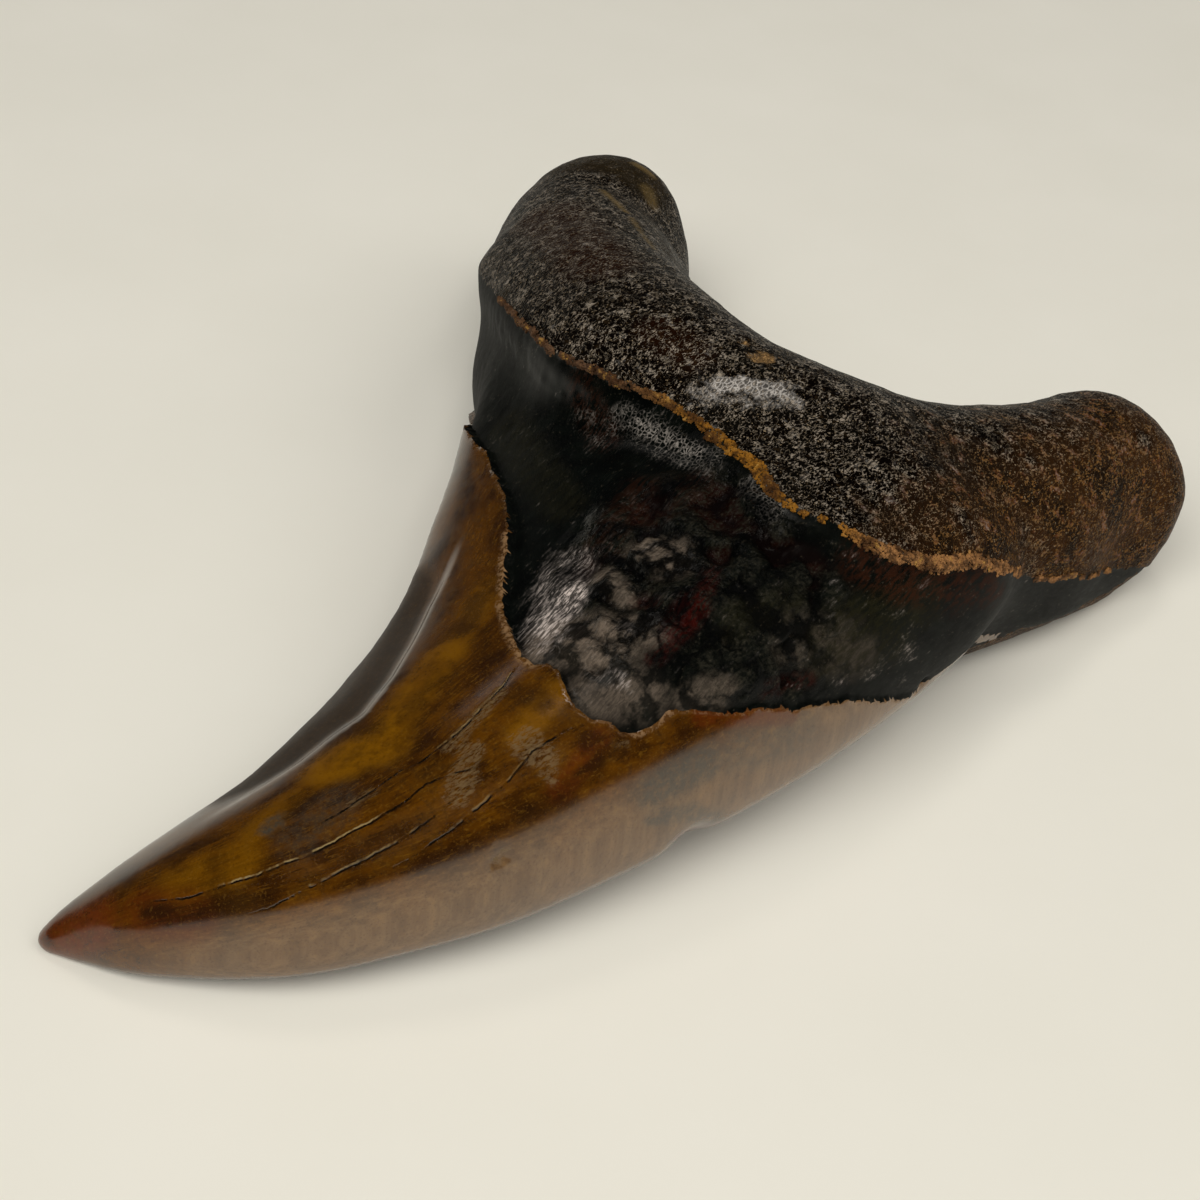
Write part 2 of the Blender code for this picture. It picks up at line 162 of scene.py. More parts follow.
# Coloured marks: radius in pixels, strength, then the places that it runs through.
MARKS = {
    "rim": (
        (14, 1.0, (503, 540), (503, 590), (506, 630), (524, 660)),
        (8, 0.6, (640, 733), (668, 713)),
    ),
    # Painted highlights along the cracks' raised lips.
    "lip": (
        (8, 1.0, (229, 885), (260, 875), (341, 839), (374, 821)),
        (6, 0.7, (441, 747), (521, 661)),
        (6, 0.5, (310, 887), (411, 834)),
        (6, 0.4, (457, 826), (533, 752)),
    ),
    "chalk": (
        (7, 1.0, (500, 692), (484, 710), (466, 728), (448, 748)),
        (11, 1.0, (474, 750), (466, 764)),
        (14, 1.0, (464, 776), (457, 793)),
        (15, 0.9, (524, 745), (545, 758)),
        (11, 0.8, (530, 735), (548, 770)),
        (5, 0.9, (552, 783)),
        (5, 0.5, (614, 744), (626, 744)),
        (6, 0.7, (374, 790), (350, 806)),
        (5, 0.9, (505, 850), (497, 862)),
        (3, 1.0, (738, 754)),
        (2.5, 1.0, (709, 765)),
    ),
    "yellow": (
        (22, 0.4, (487, 590), (470, 622), (445, 655)),
        (24, 0.9, (445, 655), (415, 690), (390, 735)),
        (28, 1.0, (385, 742), (330, 765)),
        (16, 0.5, (290, 800), (255, 835)),
        (22, 0.5, (240, 860), (180, 885)),
        (14, 0.6, (560, 690), (520, 735)),
    ),
    "orange": (
        (26, 1.0, (45, 945), (95, 922)),
        (24, 0.6, (140, 915), (190, 918)),
        (12, 0.6, (600, 740), (560, 790)),
        (10, 0.7, (700, 716), (790, 716)),
        (9, 1.0, (682, 839), (712, 828)),
    ),
    "umber": (
        (12, 0.8, (150, 915), (200, 915)),
        (12, 0.6, (210, 905), (260, 905)),
        (9, 0.5, (350, 862), (420, 822)),
        (8, 0.8, (600, 760), (560, 795)),
        (6, 1.0, (47, 941)),
        (9, 0.6, (520, 815), (560, 800)),
        (12, 0.6, (510, 690), (540, 700)),
        (12, 0.7, (590, 742), (618, 748)),
        (12, 0.5, (468, 628), (476, 600)),
    ),
    # Grey patches on the crown: partly its own grey mottling, partly a painted grey reflection on its glossy faces.
    "slate": (
        (9, 1.0, (268, 829), (276, 822)),
        (24, 0.4, (300, 835), (335, 805)),
        (20, 0.8, (655, 790), (705, 765)),
        (12, 0.7, (655, 818), (690, 812), (716, 822)),
        (24, 0.5, (740, 752), (800, 738)),
        (8, 0.5, (355, 706), (400, 650)),
    ),
    "red": (
        (15, 1.0, (694, 606), (676, 628)),
        (10, 0.8, (668, 645), (656, 655)),
        (10, 0.5, (640, 595), (650, 600)),
        (9, 0.6, (712, 565), (706, 590)),
        (9, 0.4, (765, 690), (810, 680)),
    ),
    "rust": (
        (28, 0.8, (870, 562), (960, 585)),
        (20, 0.9, (900, 585), (1000, 588)),
        (20, 0.5, (640, 478), (600, 540)),
        (18, 0.5, (575, 385), (600, 430)),
        (16, 0.4, (700, 470), (660, 510)),
        (44, 1.0, (548, 215), (600, 262)),
        (26, 0.7, (660, 330), (690, 352)),
    ),
    # Grey-brown on the worn patch: partly the dentine's own worn colour, partly a painted highlight on the knobs'
    # tops.
    "tan": (
        (24, 0.8, (650, 546), (674, 552)),
        (15, 0.8, (616, 622), (630, 626)),
        (15, 0.8, (650, 632), (660, 628)),
        (36, 1.0, (560, 640), (600, 640)),
        (28, 0.6, (600, 690), (640, 690)),
        (14, 0.7, (600, 570), (625, 590)),
        (16, 0.5, (720, 690), (690, 700)),
        (28, 0.3, (800, 640), (860, 650)),
    ),
    "moss": (
        (26, 0.8, (850, 620), (930, 600)),
        (48, 0.5, (540, 225), (600, 262)),
        (26, 0.7, (830, 650), (900, 640)),
        (24, 0.5, (500, 420), (560, 500)),
        (34, 0.9, (940, 445), (950, 475)),
        (22, 0.8, (868, 512), (885, 520)),
        (18, 0.6, (735, 620), (790, 600)),
    ),
    # Painted highlights on the neck: a bright lattice below the crust, then a shine in fibres on the worn patch.
    "painted_pore_highlights": (
        (16, 0.6, (752, 480), (772, 505)),
        (8, 1.0, (632, 418), (662, 430), (700, 446)),
        (22, 0.5, (620, 415), (655, 432), (705, 454)),
        (18, 0.3, (575, 412), (615, 435)),
    ),
    "painted_fibre_shine": (
        (18, 1.0, (572, 588), (560, 604), (546, 620)),
        (32, 0.5, (562, 560), (545, 625)),
        (12, 0.3, (650, 548), (668, 552)),
        (10, 0.25, (620, 622), (655, 630)),
        (12, 0.25, (590, 670), (620, 680)),
        (12, 0.2, (840, 680), (920, 650)),
    ),
    # A painted highlight on the root's ridge.
    "painted_bone_highlight": (
        (10, 1.0, (722, 386), (742, 384), (776, 391)),
        (20, 0.4, (705, 392), (790, 397)),
    ),
    "ochre": (
        (12, 0.5, (650, 190), (655, 200)),
        (7, 0.8, (636, 167), (650, 176)),
        (4, 0.9, (602, 192), (625, 215)),
        (3, 0.8, (630, 220), (654, 253)),
    ),
    "bead": (
        (9, 1.0, (758, 358), (769, 357)),
        (6, 0.8, (747, 342)),
    ),
    "worn": (
        (42, 1.0, (570, 165), (645, 180)),
        (18, 0.8, (480, 275), (500, 300)),
        (12, 0.7, (660, 235), (672, 262)),
    ),
}
# The crust along the neck line: half width in pixels at places along it, and how it is broken.
CRUST = (
    (499, 299, 1.1), (520, 322, 1.6), (550, 350, 2.2), (610, 377, 2.4), (660, 398, 2.4), (700, 422, 3.4),
    (730, 447, 5.4), (757, 465, 5.2), (772, 490, 4.8), (790, 503, 3.2), (808, 513, 0.5), (838, 524, 0.5),
    (852, 532, 4.4), (880, 545, 5.4), (905, 554, 5.4), (930, 562, 6.4), (960, 562, 6.0), (990, 565, 5.2),
    (1020, 574, 2.6), (1050, 581, 1.4), (1108, 576, 1.1),
)
# Flakes on the worn neck, and pits between them: place, radius in pixels, height or depth in millimetres.
FLAKES = (
    ((765, 492), 24, 0.35), ((655, 550), 26, 0.5), ((620, 624), 15, 0.4), ((655, 628), 16, 0.35),
    ((580, 640), 24, 0.35), ((752, 568), 20, 0.35), ((805, 572), 13, 0.3), ((842, 585), 14, 0.3),
    ((770, 615), 28, 0.35), ((712, 675), 32, 0.6), ((835, 612), 22, 0.3), ((640, 680), 26, 0.3),
    ((760, 660), 24, 0.35), ((800, 650), 18, 0.25), ((690, 520), 14, 0.25), ((620, 700), 20, 0.3),
)
PITS = (
    ((690, 615), 20, 0.5), ((720, 545), 18, 0.45), ((640, 590), 14, 0.4), ((600, 590), 12, 0.25),
    ((780, 545), 20, 0.35), ((735, 640), 14, 0.35), ((600, 665), 10, 0.3), ((820, 600), 10, 0.3),
    ((790, 680), 10, 0.3), ((665, 500), 12, 0.3), ((502, 857), 9, 0.22), ((761, 358), 11, 0.3),
    ((746, 341), 7, 0.25), ((930, 682), 7, 0.35),
)


def spline(rows, count):
    """Rows of numbers spread evenly along a smooth curve through the given rows."""
    rows = np.array(rows, float)
    padded = np.vstack([2 * rows[0] - rows[1], rows, 2 * rows[-1] - rows[-2]])
    made = []
    for place in np.linspace(0, len(rows) - 1, count):
        i = min(int(place), len(rows) - 2)
        t = place - i
        a, b, c, d = padded[i : i + 4]
        made.append(b + 0.5 * t * (c - a + t * (2 * a - 5 * b + 4 * c - d + t * (3 * b - a - 3 * c + d))))
    return np.array(made)


def dome(share, start, end):
    """The height of a rounded cross-section, 1 at its top, at a share of the way from edge to edge."""
    top = start / (start + end)
    return (share / top) ** start * ((1 - share) / (1 - top)) ** end


def crown_ring(row):
    """One cross-section of the crown: over the lingual dome, and back under the labial face."""
    distal, mesial, rise, fall = Vector(row[0:3]), Vector(row[3:6]), row[6], row[7]
    across = (mesial - distal).normalized()
    up = (Vector((0, 0, 1)) - across * across.z).normalized()
    half = RING_POINTS // 2
    ring = []
    for i in range(half):
        share = (1 - math.cos(math.pi * i / half)) / 2
        ring.append(distal.lerp(mesial, share) + up * rise * dome(share, DISTAL_FLARE, MESIAL_FLARE))
    for i in range(half):
        share = (1 + math.cos(math.pi * i / half)) / 2
        ring.append(distal.lerp(mesial, share) - up * fall * dome(share, LABIAL_FLARE, LABIAL_FLARE))
    return ring


def root_ring(row, ahead):
    """One cross-section of the root, across the way that the lobe runs."""
    x, y, width, low, high = row
    side = Vector((ahead[1], -ahead[0], 0)).normalized()
    level = low + WIDEST_LEVEL * (high - low)
    ring = []
    for i in range(RING_POINTS):
        turn = 2 * math.pi * i / RING_POINTS
        c, s = math.cos(turn), math.sin(turn)
        power = 2 / (LINGUAL_SQUARENESS if s > 0 else LABIAL_SQUARENESS)
        out = math.copysign(abs(c) ** power, c) * width
        rise = abs(s) ** power * ((high if s > 0 else low) - level)
        ring.append(Vector((x, y, level + rise)) + side * out)
    return ring


def loft(bm, rings):
    made = [[bm.verts.new(point * MM) for point in ring] for ring in rings]
    count = len(rings[0])
    faces = []
    for a, b in zip(made, made[1:]):
        faces += [bm.faces.new((a[i], a[(i + 1) % count], b[(i + 1) % count], b[i])) for i in range(count)]
    for ring in (made[0], made[-1]):
        middle = bm.verts.new(sum((v.co for v in ring), Vector()) / count)
        faces += [bm.faces.new((ring[i], ring[(i + 1) % count], middle)) for i in range(count)]
    bmesh.ops.recalc_face_normals(bm, faces=faces)


CROWN_ROWS = spline([(*a, *b, rise, fall) for a, b, rise, fall in CROWN_STATIONS], CROWN_RINGS)


def crown_and_root():
    root_rows = spline([(*middle, *sizes) for middle, *sizes in ROOT_STATIONS], ROOT_RINGS)
    ways = np.gradient(root_rows[:, :2], axis=0)
    bm = bmesh.new()
    loft(bm, [crown_ring(row) for row in CROWN_ROWS])
    loft(bm, [root_ring(row, way) for row, way in zip(root_rows, ways)])
    mesh = bpy.data.meshes.new("lofts")
    bm.to_mesh(mesh)
    bm.free()
    return mesh


def show(name, data):
    """A new object in the scene."""
    obj = bpy.data.objects.new(name, data)
    bpy.context.scene.collection.objects.link(obj)
    return obj


def through_modifier(mesh, kind, **settings):
    """The mesh that one modifier makes of the given mesh."""
    obj = show(mesh.name, mesh)
    modifier = obj.modifiers.new(kind, kind)
    for name, value in settings.items():
        setattr(modifier, name, value)
    made = bpy.data.meshes.new_from_object(obj.evaluated_get(bpy.context.evaluated_depsgraph_get()))
    bpy.data.objects.remove(obj)
    return made


def read(items, name, width, kind=float):
    """One field of every item, as rows of numbers."""
    numbers = np.empty(len(items) * width, kind)
    items.foreach_get(name, numbers)
    return numbers.reshape(-1, width)


def points_of(mesh):
    return read(mesh.vertices, "co", 3) / MM


def set_points(mesh, points):
    mesh.vertices.foreach_set("co", (points * MM).ravel())
    mesh.update()


def normals_of(mesh):
    return read(mesh.vertex_normals, "vector", 3)


def relaxed(mesh, points, strength, passes):
    """Moves every point towards the mean of its neighbours, by its own strength, so many times."""
    edges = read(mesh.edges, "vertices", 2, int)
    here, there = edges.ravel(), edges[:, ::-1].ravel()
    count = np.bincount(here)
    for _ in range(passes):
        means = [np.bincount(here, points[there, axis]) / count for axis in range(3)]
        points = points + (np.stack(means, 1) - points) * strength[:, None]
    return points


def step(values, low, high):
    """0 below low, 1 above high, and a soft slope between."""
    t = np.clip((values - low) / (high - low), 0, 1)
    return t * t * (3 - 2 * t)


def noise_at(points, pitch, shift=0.0):
    """Smooth noise between about -1 and 1, with waves as long as the pitch."""
    return np.array([noise.noise(Vector(point) / pitch + Vector((shift, 0, 0))) for point in points])


def near_to(points, middle, radius):
    """1 at the middle, falling softly to nearly 0 at twice the radius."""
    return np.exp(-((points - middle) ** 2).sum(1) / radius**2)


def wobble(points, pitch, reach):
    """The points, each moved by a smooth random amount: it makes the lines measured from them ragged."""
    return points + reach * np.array([noise.noise_vector(Vector(point) / pitch) for point in points])


def smooth_tooth():
    """The form without its relief, with smaller faces where the neck's relief will be."""
    mesh = through_modifier(crown_and_root(), "REMESH", mode="VOXEL", voxel_size=VOXEL * MM)
    points = points_of(mesh)
    blend = CROWN_BLEND + (ROOT_BLEND - CROWN_BLEND) * step(points[:, 1], BLEND_FROM, BLEND_TO)
    points = relaxed(mesh, points, blend, round(BLEND_PASSES * (SOLID_VOXEL / VOXEL) ** 2))
    set_points(mesh, points)
    normals = normals_of(mesh)
    x, y, _ = points.T
    inside = (normals[:, 2] > -0.3) & (y > -21) & (y < 1.5 + 0.04 * x**2) & (y < 17)
    bm = bmesh.new()
    bm.from_mesh(mesh)
    bm.verts.ensure_lookup_table()
    edges = [e for e in bm.edges if inside[e.verts[0].index] and inside[e.verts[1].index]]
    bmesh.ops.subdivide_edges(bm, edges=edges, cuts=1, use_grid_fill=True)
    bmesh.ops.triangulate(bm, faces=[f for f in bm.faces if len(f.verts) > 4])
    finer = bpy.data.meshes.new("tooth_skin")
    bm.to_mesh(finer)
    bm.free()
    points = points_of(finer)
    near = (points[:, 1] > -22) & (points[:, 1] < 18) & (points[:, 2] > 2)
    points = relaxed(finer, points, 0.5 * near, 4)
    for middle, radius in SOFTENED:
        points = relaxed(finer, points, 0.6 * near_to(points, middle, radius), 90)
    set_points(finer, points)
    return finer


def picture_axes():
    """Right, up and forward of the photograph's camera."""
    forward = Vector((-math.sin(TURN) * math.cos(TILT), math.cos(TURN) * math.cos(TILT), -math.sin(TILT)))
    right = Vector((math.cos(TURN), math.sin(TURN), 0))
    up = right.cross(forward)
    return (
        right * math.cos(ROLL) + up * math.sin(ROLL),
        up * math.cos(ROLL) - right * math.sin(ROLL),
        forward,
    )


def on_tooth(tree, pixel):
    """Where the ray of one pixel first meets the form, and the form's normal there."""
    right, up, forward = picture_axes()
    far = PICTURE / 2 / math.tan(math.radians(VIEW_ANGLE / 2))
    ray = forward + right * ((pixel[0] - PICTURE / 2) / far) - up * ((pixel[1] - PICTURE / 2) / far)
    place, normal, _, _ = tree.ray_cast(CAMERA, ray.normalized())
    return (None, None) if place is None else (np.array(place), np.array(normal))


def line_on_tooth(tree, pixels):
    """The places under a row of pixels, and the form's normals there."""
    hits = [on_tooth(tree, pixel) for pixel in pixels]
    hits = [hit for hit in hits if hit[0] is not None]
    return np.array([hit[0] for hit in hits]), np.array([hit[1] for hit in hits])


def measure(points, line, ups):
    """For every point: signed distance to the line, above 0 on its left seen from outside, how far along it
    the nearest place is, and the way from that place to the point. Last, the line's length."""
    best = np.full(len(points), np.inf)
    side = np.zeros(len(points))
    along = np.zeros(len(points))
    way = np.zeros((len(points), 3))
    length = 0.0
    for a, b, up in zip(line, line[1:], (ups[:-1] + ups[1:]) / 2):
        run = b - a
        size = np.linalg.norm(run)
        t = np.clip((points - a) @ run / size**2, 0, 1)
        off = points - a - t[:, None] * run
        gap = np.sqrt((off**2).sum(1))
        left = np.cross(up, run)
        lean = off @ (left / np.linalg.norm(left))
        closer = (gap < best - 1e-6) | ((gap < best + 1e-6) & (abs(lean) > abs(side)))
        best = np.where(closer, gap, best)
        side = np.where(closer, lean, side)
        along = np.where(closer, length + t * size, along)
        way = np.where(closer[:, None], off, way)
        length += size
    return best * np.sign(side), along, way, length


def gap_in_plan(line, points):
    """How far each point lies beyond the line, towards +Y, looking straight down."""
    xs, ys = np.array(line, float).T
    level = np.interp(points[:, 0], xs, ys)
    slope = (np.interp(points[:, 0] + 1, xs, ys) - np.interp(points[:, 0] - 1, xs, ys)) / 2
    return (points[:, 1] - level) / np.sqrt(1 + slope**2)


def crown_place(points):
    """Where each point lies on the crown: mm across it, as if the crown kept one width, and mm along it."""
    distal, mesial = CROWN_ROWS[:, 0:2], CROWN_ROWS[:, 3:5]
    across = mesial - distal
    width = np.linalg.norm(across, axis=1)
    across = across / width[:, None]
    down = np.stack([-across[:, 1], across[:, 0]], 1)
    offs = (points[:, None, 0] - distal[None, :, 0]) * down[None, :, 0]
    offs += (points[:, None, 1] - distal[None, :, 1]) * down[None, :, 1]
    row = np.clip((offs > 0).sum(1) - 1, 0, len(width) - 2)
    pick = np.arange(len(points))
    t = np.clip(offs[pick, row] / (offs[pick, row] - offs[pick, row + 1] + 1e-9), 0, 1)
    start = distal[row] + t[:, None] * (distal[row + 1] - distal[row])
    lead = across[row] + t[:, None] * (across[row + 1] - across[row])
    share = ((points[:, :2] - start) * lead).sum(1) / (width[row] + t * (width[row + 1] - width[row]))
    middles = (distal + mesial) / 2
    lengths = np.concatenate([[0], np.cumsum(np.linalg.norm(np.diff(middles, axis=0), axis=1))])
    return (share - 0.5) * 16, lengths[row] + t * (lengths[row + 1] - lengths[row])


def set_attribute(mesh, name, values):
    kind, field = ("FLOAT", "value") if values.ndim == 1 else ("FLOAT_VECTOR", "vector")
    attribute = mesh.attributes.new(name, kind, "POINT")
    attribute.data.foreach_set(field, values.astype(np.float32).ravel())


# The tooth's materials, by their places in its list.
ENAMEL, DENTINE, BONE = 0, 1, 2


def marked(points, tree, marks):
    """How strongly each point belongs to one kind of mark."""
    value = np.zeros(len(points))
    for radius, strength, *pixels in marks:
        line, ups = line_on_tooth(tree, pixels)
        if len(line) == 0:
            continue
        if len(line) == 1:
            gap = np.linalg.norm(points - line[0], axis=1)
        else:
            gap = abs(measure(points, line, ups)[0])
        value = np.maximum(value, strength * (1 - step(gap / (radius * PIXEL), 0.45, 1.35)))
    return value


def flaky(points, way):
    """Scaly relief: cells that each rise along the way to a sharp rim, with narrow gaps between them."""
    height = np.empty(len(points))
    for i, point in enumerate(points):
        place = Vector(point)
        place -= way * (place.dot(way) * 0.35)
        near, seeds = noise.voronoi(place)
        rim = near[1] - near[0]
        lift = (place - seeds[0]).dot(way) * 0.55 + 0.6 * noise.noise(seeds[0] * 3.1)
        height[i] = lift * min(1.0, rim / 0.22) - 0.55 * max(0.0, 1 - rim / 0.16)
    return height


def dressed_tooth():
    """The tooth's skin with its relief, and with an attribute for each thing that the materials draw."""
    mesh = smooth_tooth()
    points, normals = points_of(mesh), normals_of(mesh)
    tree = BVHTree.FromPolygons([tuple(p) for p in points], [tuple(f.vertices) for f in mesh.polygons])
    # The lingual side reaches further round on the crown and the lobes' outer sides than in the arch.
    outward = normals[:, 0] * np.sign(points[:, 0] - ARCH_MIDDLE)
    outer = np.maximum(step(outward, 0.0, 0.3), step(-points[:, 1], 0, 4))
    lingual = step(normals[:, 2] + 0.35 * outer, -0.25, 0.1)
    # The arch and the back of the lobes are root bone throughout.
    back = np.maximum(step(normals[:, 1], 0.5, 0.8), step(-outward, 0.25, 0.5))
    back *= step(points[:, 1], 8, 10)
    front = lingual * (1 - back)

    def edge_gap(pixels, reach, pitch):
        """Measures from a line that goes straight on for 8 mm beyond both of its ends, made ragged."""
        line, ups = line_on_tooth(tree, pixels)
        first = line[0] + (line[0] - line[2]) / np.linalg.norm(line[0] - line[2]) * 8
        last = line[-1] + (line[-1] - line[-3]) / np.linalg.norm(line[-1] - line[-3]) * 8
        line = np.vstack([first, line, last])
        ups = np.vstack([ups[0], ups, ups[-1]])
        return measure(wobble(points, pitch, reach), line, ups)

    enamel, _, off, _ = edge_gap(ENAMEL_EDGE, 0.11, 0.5)
    # Points close to the enamel's edge move onto it, so that the edge is clean.
    snap = (abs(enamel) < 0.09) & (lingual > 0.9)
    points[snap] -= off[snap]
    enamel[snap] = 0
    neck = edge_gap(NECK_LINE, 0.12, 0.6)[0]
    labial = gap_in_plan(LABIAL_EDGE, wobble(points, 1.5, 0.5))
    crown = -(labial + (enamel - labial) * front)
    root = labial + (neck - labial) * front

    x, y, _ = points.T
    # The ledge under the neck line is sharp, but flows out softly at the distal end.
    softness = 0.2 + 2.0 * step(-x, 11.0, 14.5)
    on_neck = step(-neck / softness, 0.0, 1.0) * step(enamel, 0.0, 0.12) * front
    hollow = np.exp(-(((neck + HOLLOW_BELOW) / HOLLOW_REACH) ** 2))
    hollow *= NECK_HOLLOW * step(-x, -19, -15) + DISTAL_HOLLOW * step(-x, 4, 9)
    hollow *= step(-neck, 0.0, 2.0)
    ledge = NECK_STEP - 0.2 * step(x, 8, 12) - 0.2 * step(-x, 11, 15)
    out = -on_neck * (ledge + (ENAMEL_STEP - ledge) * step(neck, -3, 0) + hollow)

    # The worn patch: scales of two sizes that rise towards the tip and the distal side, flakes and pits.
    down = on_tooth(tree, (640, 680))[0] - on_tooth(tree, (680, 620))[0]
    down = Vector(down).normalized()
    reach = ((x - 11.3) / 7.2) ** 2 + ((y + 9.8) / 7.4) ** 2
    worn = (1 - step(reach, 0.45, 1.15)) * on_neck * step(-neck, 0.2, 1.2) * step(enamel, 0.05, 0.6)
    some = np.where(worn > 0.01)[0]
    near = points[some]
    for height, size in ((0.2, 2.4), (0.06, 1.1)):
        out[some] += worn[some] * height * flaky(near / size, down)
    for height, pitch in ((0.6, 2.6), (0.26, 1.2), (0.04, 0.5)):
        out[some] += worn[some] * height * noise_at(near, pitch)
    ragged = wobble(near, 0.9, 0.4)
    for pixel, radius, height in FLAKES:
        middle, _ = on_tooth(tree, pixel)
        gap = ragged - middle
        far = np.sqrt((gap**2).sum(1)) / (radius * PIXEL)
        lean = gap @ np.array(down) / (radius * PIXEL)
        plate = height * (1 - step(far, 0.8, 1.0)) * np.clip(0.5 + 0.5 * lean, 0, 1)
        out[some] = np.maximum(out[some], out[some] * (1 - step(-far, -1, -0.8)) + plate - 0.3)
    ragged = wobble(points, 0.9, 0.4)
    for pixel, radius, depth in PITS:
        middle, _ = on_tooth(tree, pixel)
        far = np.sqrt(((ragged - middle) ** 2).sum(1)) / (radius * PIXEL)
        out -= depth * (1 - step(far, 0.35, 1.15))

    set_attribute(mesh, "relief", worn * (out + 0.25))

    # Fibres over the neck, running from the crown to the root.
    some = np.where(on_neck > 0.05)[0]
    fibre = noise_at(points[some] * (1, 0.16, 0.4), FIBRE_PITCH)
    out[some] += FIBRE_HEIGHT * fibre * on_neck[some] * step(normals[some, 2], 0.3, 0.7)
    out -= (1 - lingual) * LABIAL_STEP * step(labial, -0.2, 0.2)
    for middle, radius, height in SWELLINGS:
        out += height * near_to(points, middle, radius)
    on_root = step(root, 0, 2)
    out += noise_at(points, SWELL_PITCH) * (CROWN_SWELL + (ROOT_SWELL - CROWN_SWELL) * on_root)
    out += on_root * (0.07 * noise_at(points, 1.6) + 0.035 * noise_at(points, 0.6, 7.0))

    places = np.array([on_tooth(tree, item[:2])[0] for item in CRUST])
    gap, along, _, _ = measure(points, places, np.tile((0.0, 0.0, 1.0), (len(places), 1)))
    runs = np.concatenate([[0], np.cumsum(np.linalg.norm(np.diff(places, axis=0), axis=1))])
    half = np.interp(along, runs, [item[2] for item in CRUST]) * PIXEL
    ragged = half * (1 + 0.55 * noise_at(points, 0.7, 3.0))
    crust = (1 - step(abs(neck), ragged * 0.6, ragged * 1.1)) * (abs(gap) < 1.5) * lingual
    out += crust * (0.06 + 0.22 * noise_at(points, 0.5, 5.0))

    flange, flange_run, _, length = measure(points, *line_on_tooth(tree, FLANGE))
    fade = step(flange_run, 0.5, 6) * step(length - flange_run, 0.5, 6)
    flange = np.where(abs(flange) < 6, -flange, -6)
    out -= FLANGE_STEP * fade * step(flange, -0.35, 0.35) * (1 - step(flange, 0.6, 3.0))

    across, along_crown = crown_place(points)
    set_attribute(mesh, "flow", np.stack([across, along_crown, lingual], 1))
    set_attribute(mesh, "crown_edge", crown)
    # Painted reflection: the crown's steep mesial face, turned down towards the floor, is painted paler as if it
    # mirrored the pale floor.
    painted_floor_reflection = 0.6 * step(-normals[:, 2], -0.5, -0.1) * step(normals[:, 0], 0.2, 0.6)
    set_attribute(mesh, "painted_floor_reflection", painted_floor_reflection * lingual * step(y, -36.2, -33.5))
    dull = step(abs(normals[:, 0] + 0.1), 0.2, 0.5) + step(-normals[:, 2], -0.3, 0.1)
    set_attribute(mesh, "dull", np.clip(dull, 0, 1))
    set_attribute(mesh, "crust", crust)
    set_attribute(mesh, "worn_patch", worn)
    set_attribute(mesh, "flange", flange * lingual * fade)
    for name, marks in MARKS.items():
        set_attribute(mesh, name, marked(points, tree, marks))
    for number, pixels in enumerate(CRACKS):
        line, ups = line_on_tooth(tree, pixels)
        gap, run, _, length = measure(wobble(points, 0.9, 0.06), line, ups)
        ends = step(run, 0.0, 1.2) * step(length - run, 0.0, 1.5) * (abs(gap) < 4)
        gap = np.clip(gap, -2, 2)
        out += CRACK_STEP * step(gap, -0.15, 0.15) * ends * (1 - step(gap, 0.2, 1.6))
        set_attribute(mesh, f"crack_{number}", np.stack([gap, run, ends], 1))

    normals = normals_of(mesh)
    points = points + normals * out[:, None]
    for middle, radius, deep, way in NICKS:
        points = points + near_to(points, middle, radius)[:, None] * deep * np.array(way)
    for middle, radius in SOFTENED:
        points = relaxed(mesh, points, 0.5 * near_to(points, middle, radius), 40)
    # The solid's box is the limit.
    low, high = np.array(cad_box) / MM
    set_points(mesh, np.clip(points - MIDDLE, low, high))

    # Each face gets enamel, dentine or bone, as most of its corners have; the enamel keeps its edge.
    kinds = np.where(crown > 0, ENAMEL, np.where(root > 0, BONE, DENTINE))
    faces = np.empty(len(mesh.polygons), int)
    for face in mesh.polygons:
        own = [kinds[i] for i in face.vertices]
        faces[face.index] = max(set(own), key=own.count)
        if ENAMEL in own and sum(crown[i] for i in face.vertices) > 0:
            faces[face.index] = ENAMEL
    mesh.polygons.foreach_set("material_index", faces.astype(np.int32))
    mesh.shade_smooth()
    return mesh


# ----------------------------------------------------------------------------------------------------
# Materials
# ----------------------------------------------------------------------------------------------------
def colour(text):
    """An sRGB hex colour as linear numbers."""
    parts = [int(text[i : i + 2], 16) / 255 for i in (1, 3, 5)]
    return tuple(p / 12.92 if p <= 0.04045 else ((p + 0.055) / 1.055) ** 2.4 for p in parts) + (1.0,)


def start_material(name):
    material = bpy.data.materials.new(name)
    material.use_nodes = True
    return material, material.node_tree, material.node_tree.nodes["Principled BSDF"]


# What the word after a node's kind sets.
MODES = {"Math": "operation", "VectorMath": "operation", "Mix": "data_type", "TexVoronoi": "feature"}
SOFT = {"interpolation_type": "SMOOTHSTEP"}


def add(tree, kind, *values, **settings):
    """Adds one node. Each value goes to the next shown input: a number, a hex colour, another node's output,
    or None to leave it as it is. Returns the node's first shown output."""
    kind, _, mode = kind.partition(" ")
    node = tree.nodes.new("ShaderNode" + kind)
    if mode:
        settings[MODES[kind]] = mode
    for name, value in settings.items():
        setattr(node, name, value)
    for socket, value in zip([s for s in node.inputs if s.enabled], values):
        if isinstance(value, bpy.types.NodeSocket):
            tree.links.new(value, socket)
        elif value is not None:
            socket.default_value = colour(value) if isinstance(value, str) else value
    return next(s for s in node.outputs if s.enabled)


def layered(tree, base, layers):
    """Colours laid over each other: each layer is a mask and a colour."""
    for mask, tint in layers:
        base = add(tree, "Mix RGBA", mask, base, tint)
    return base


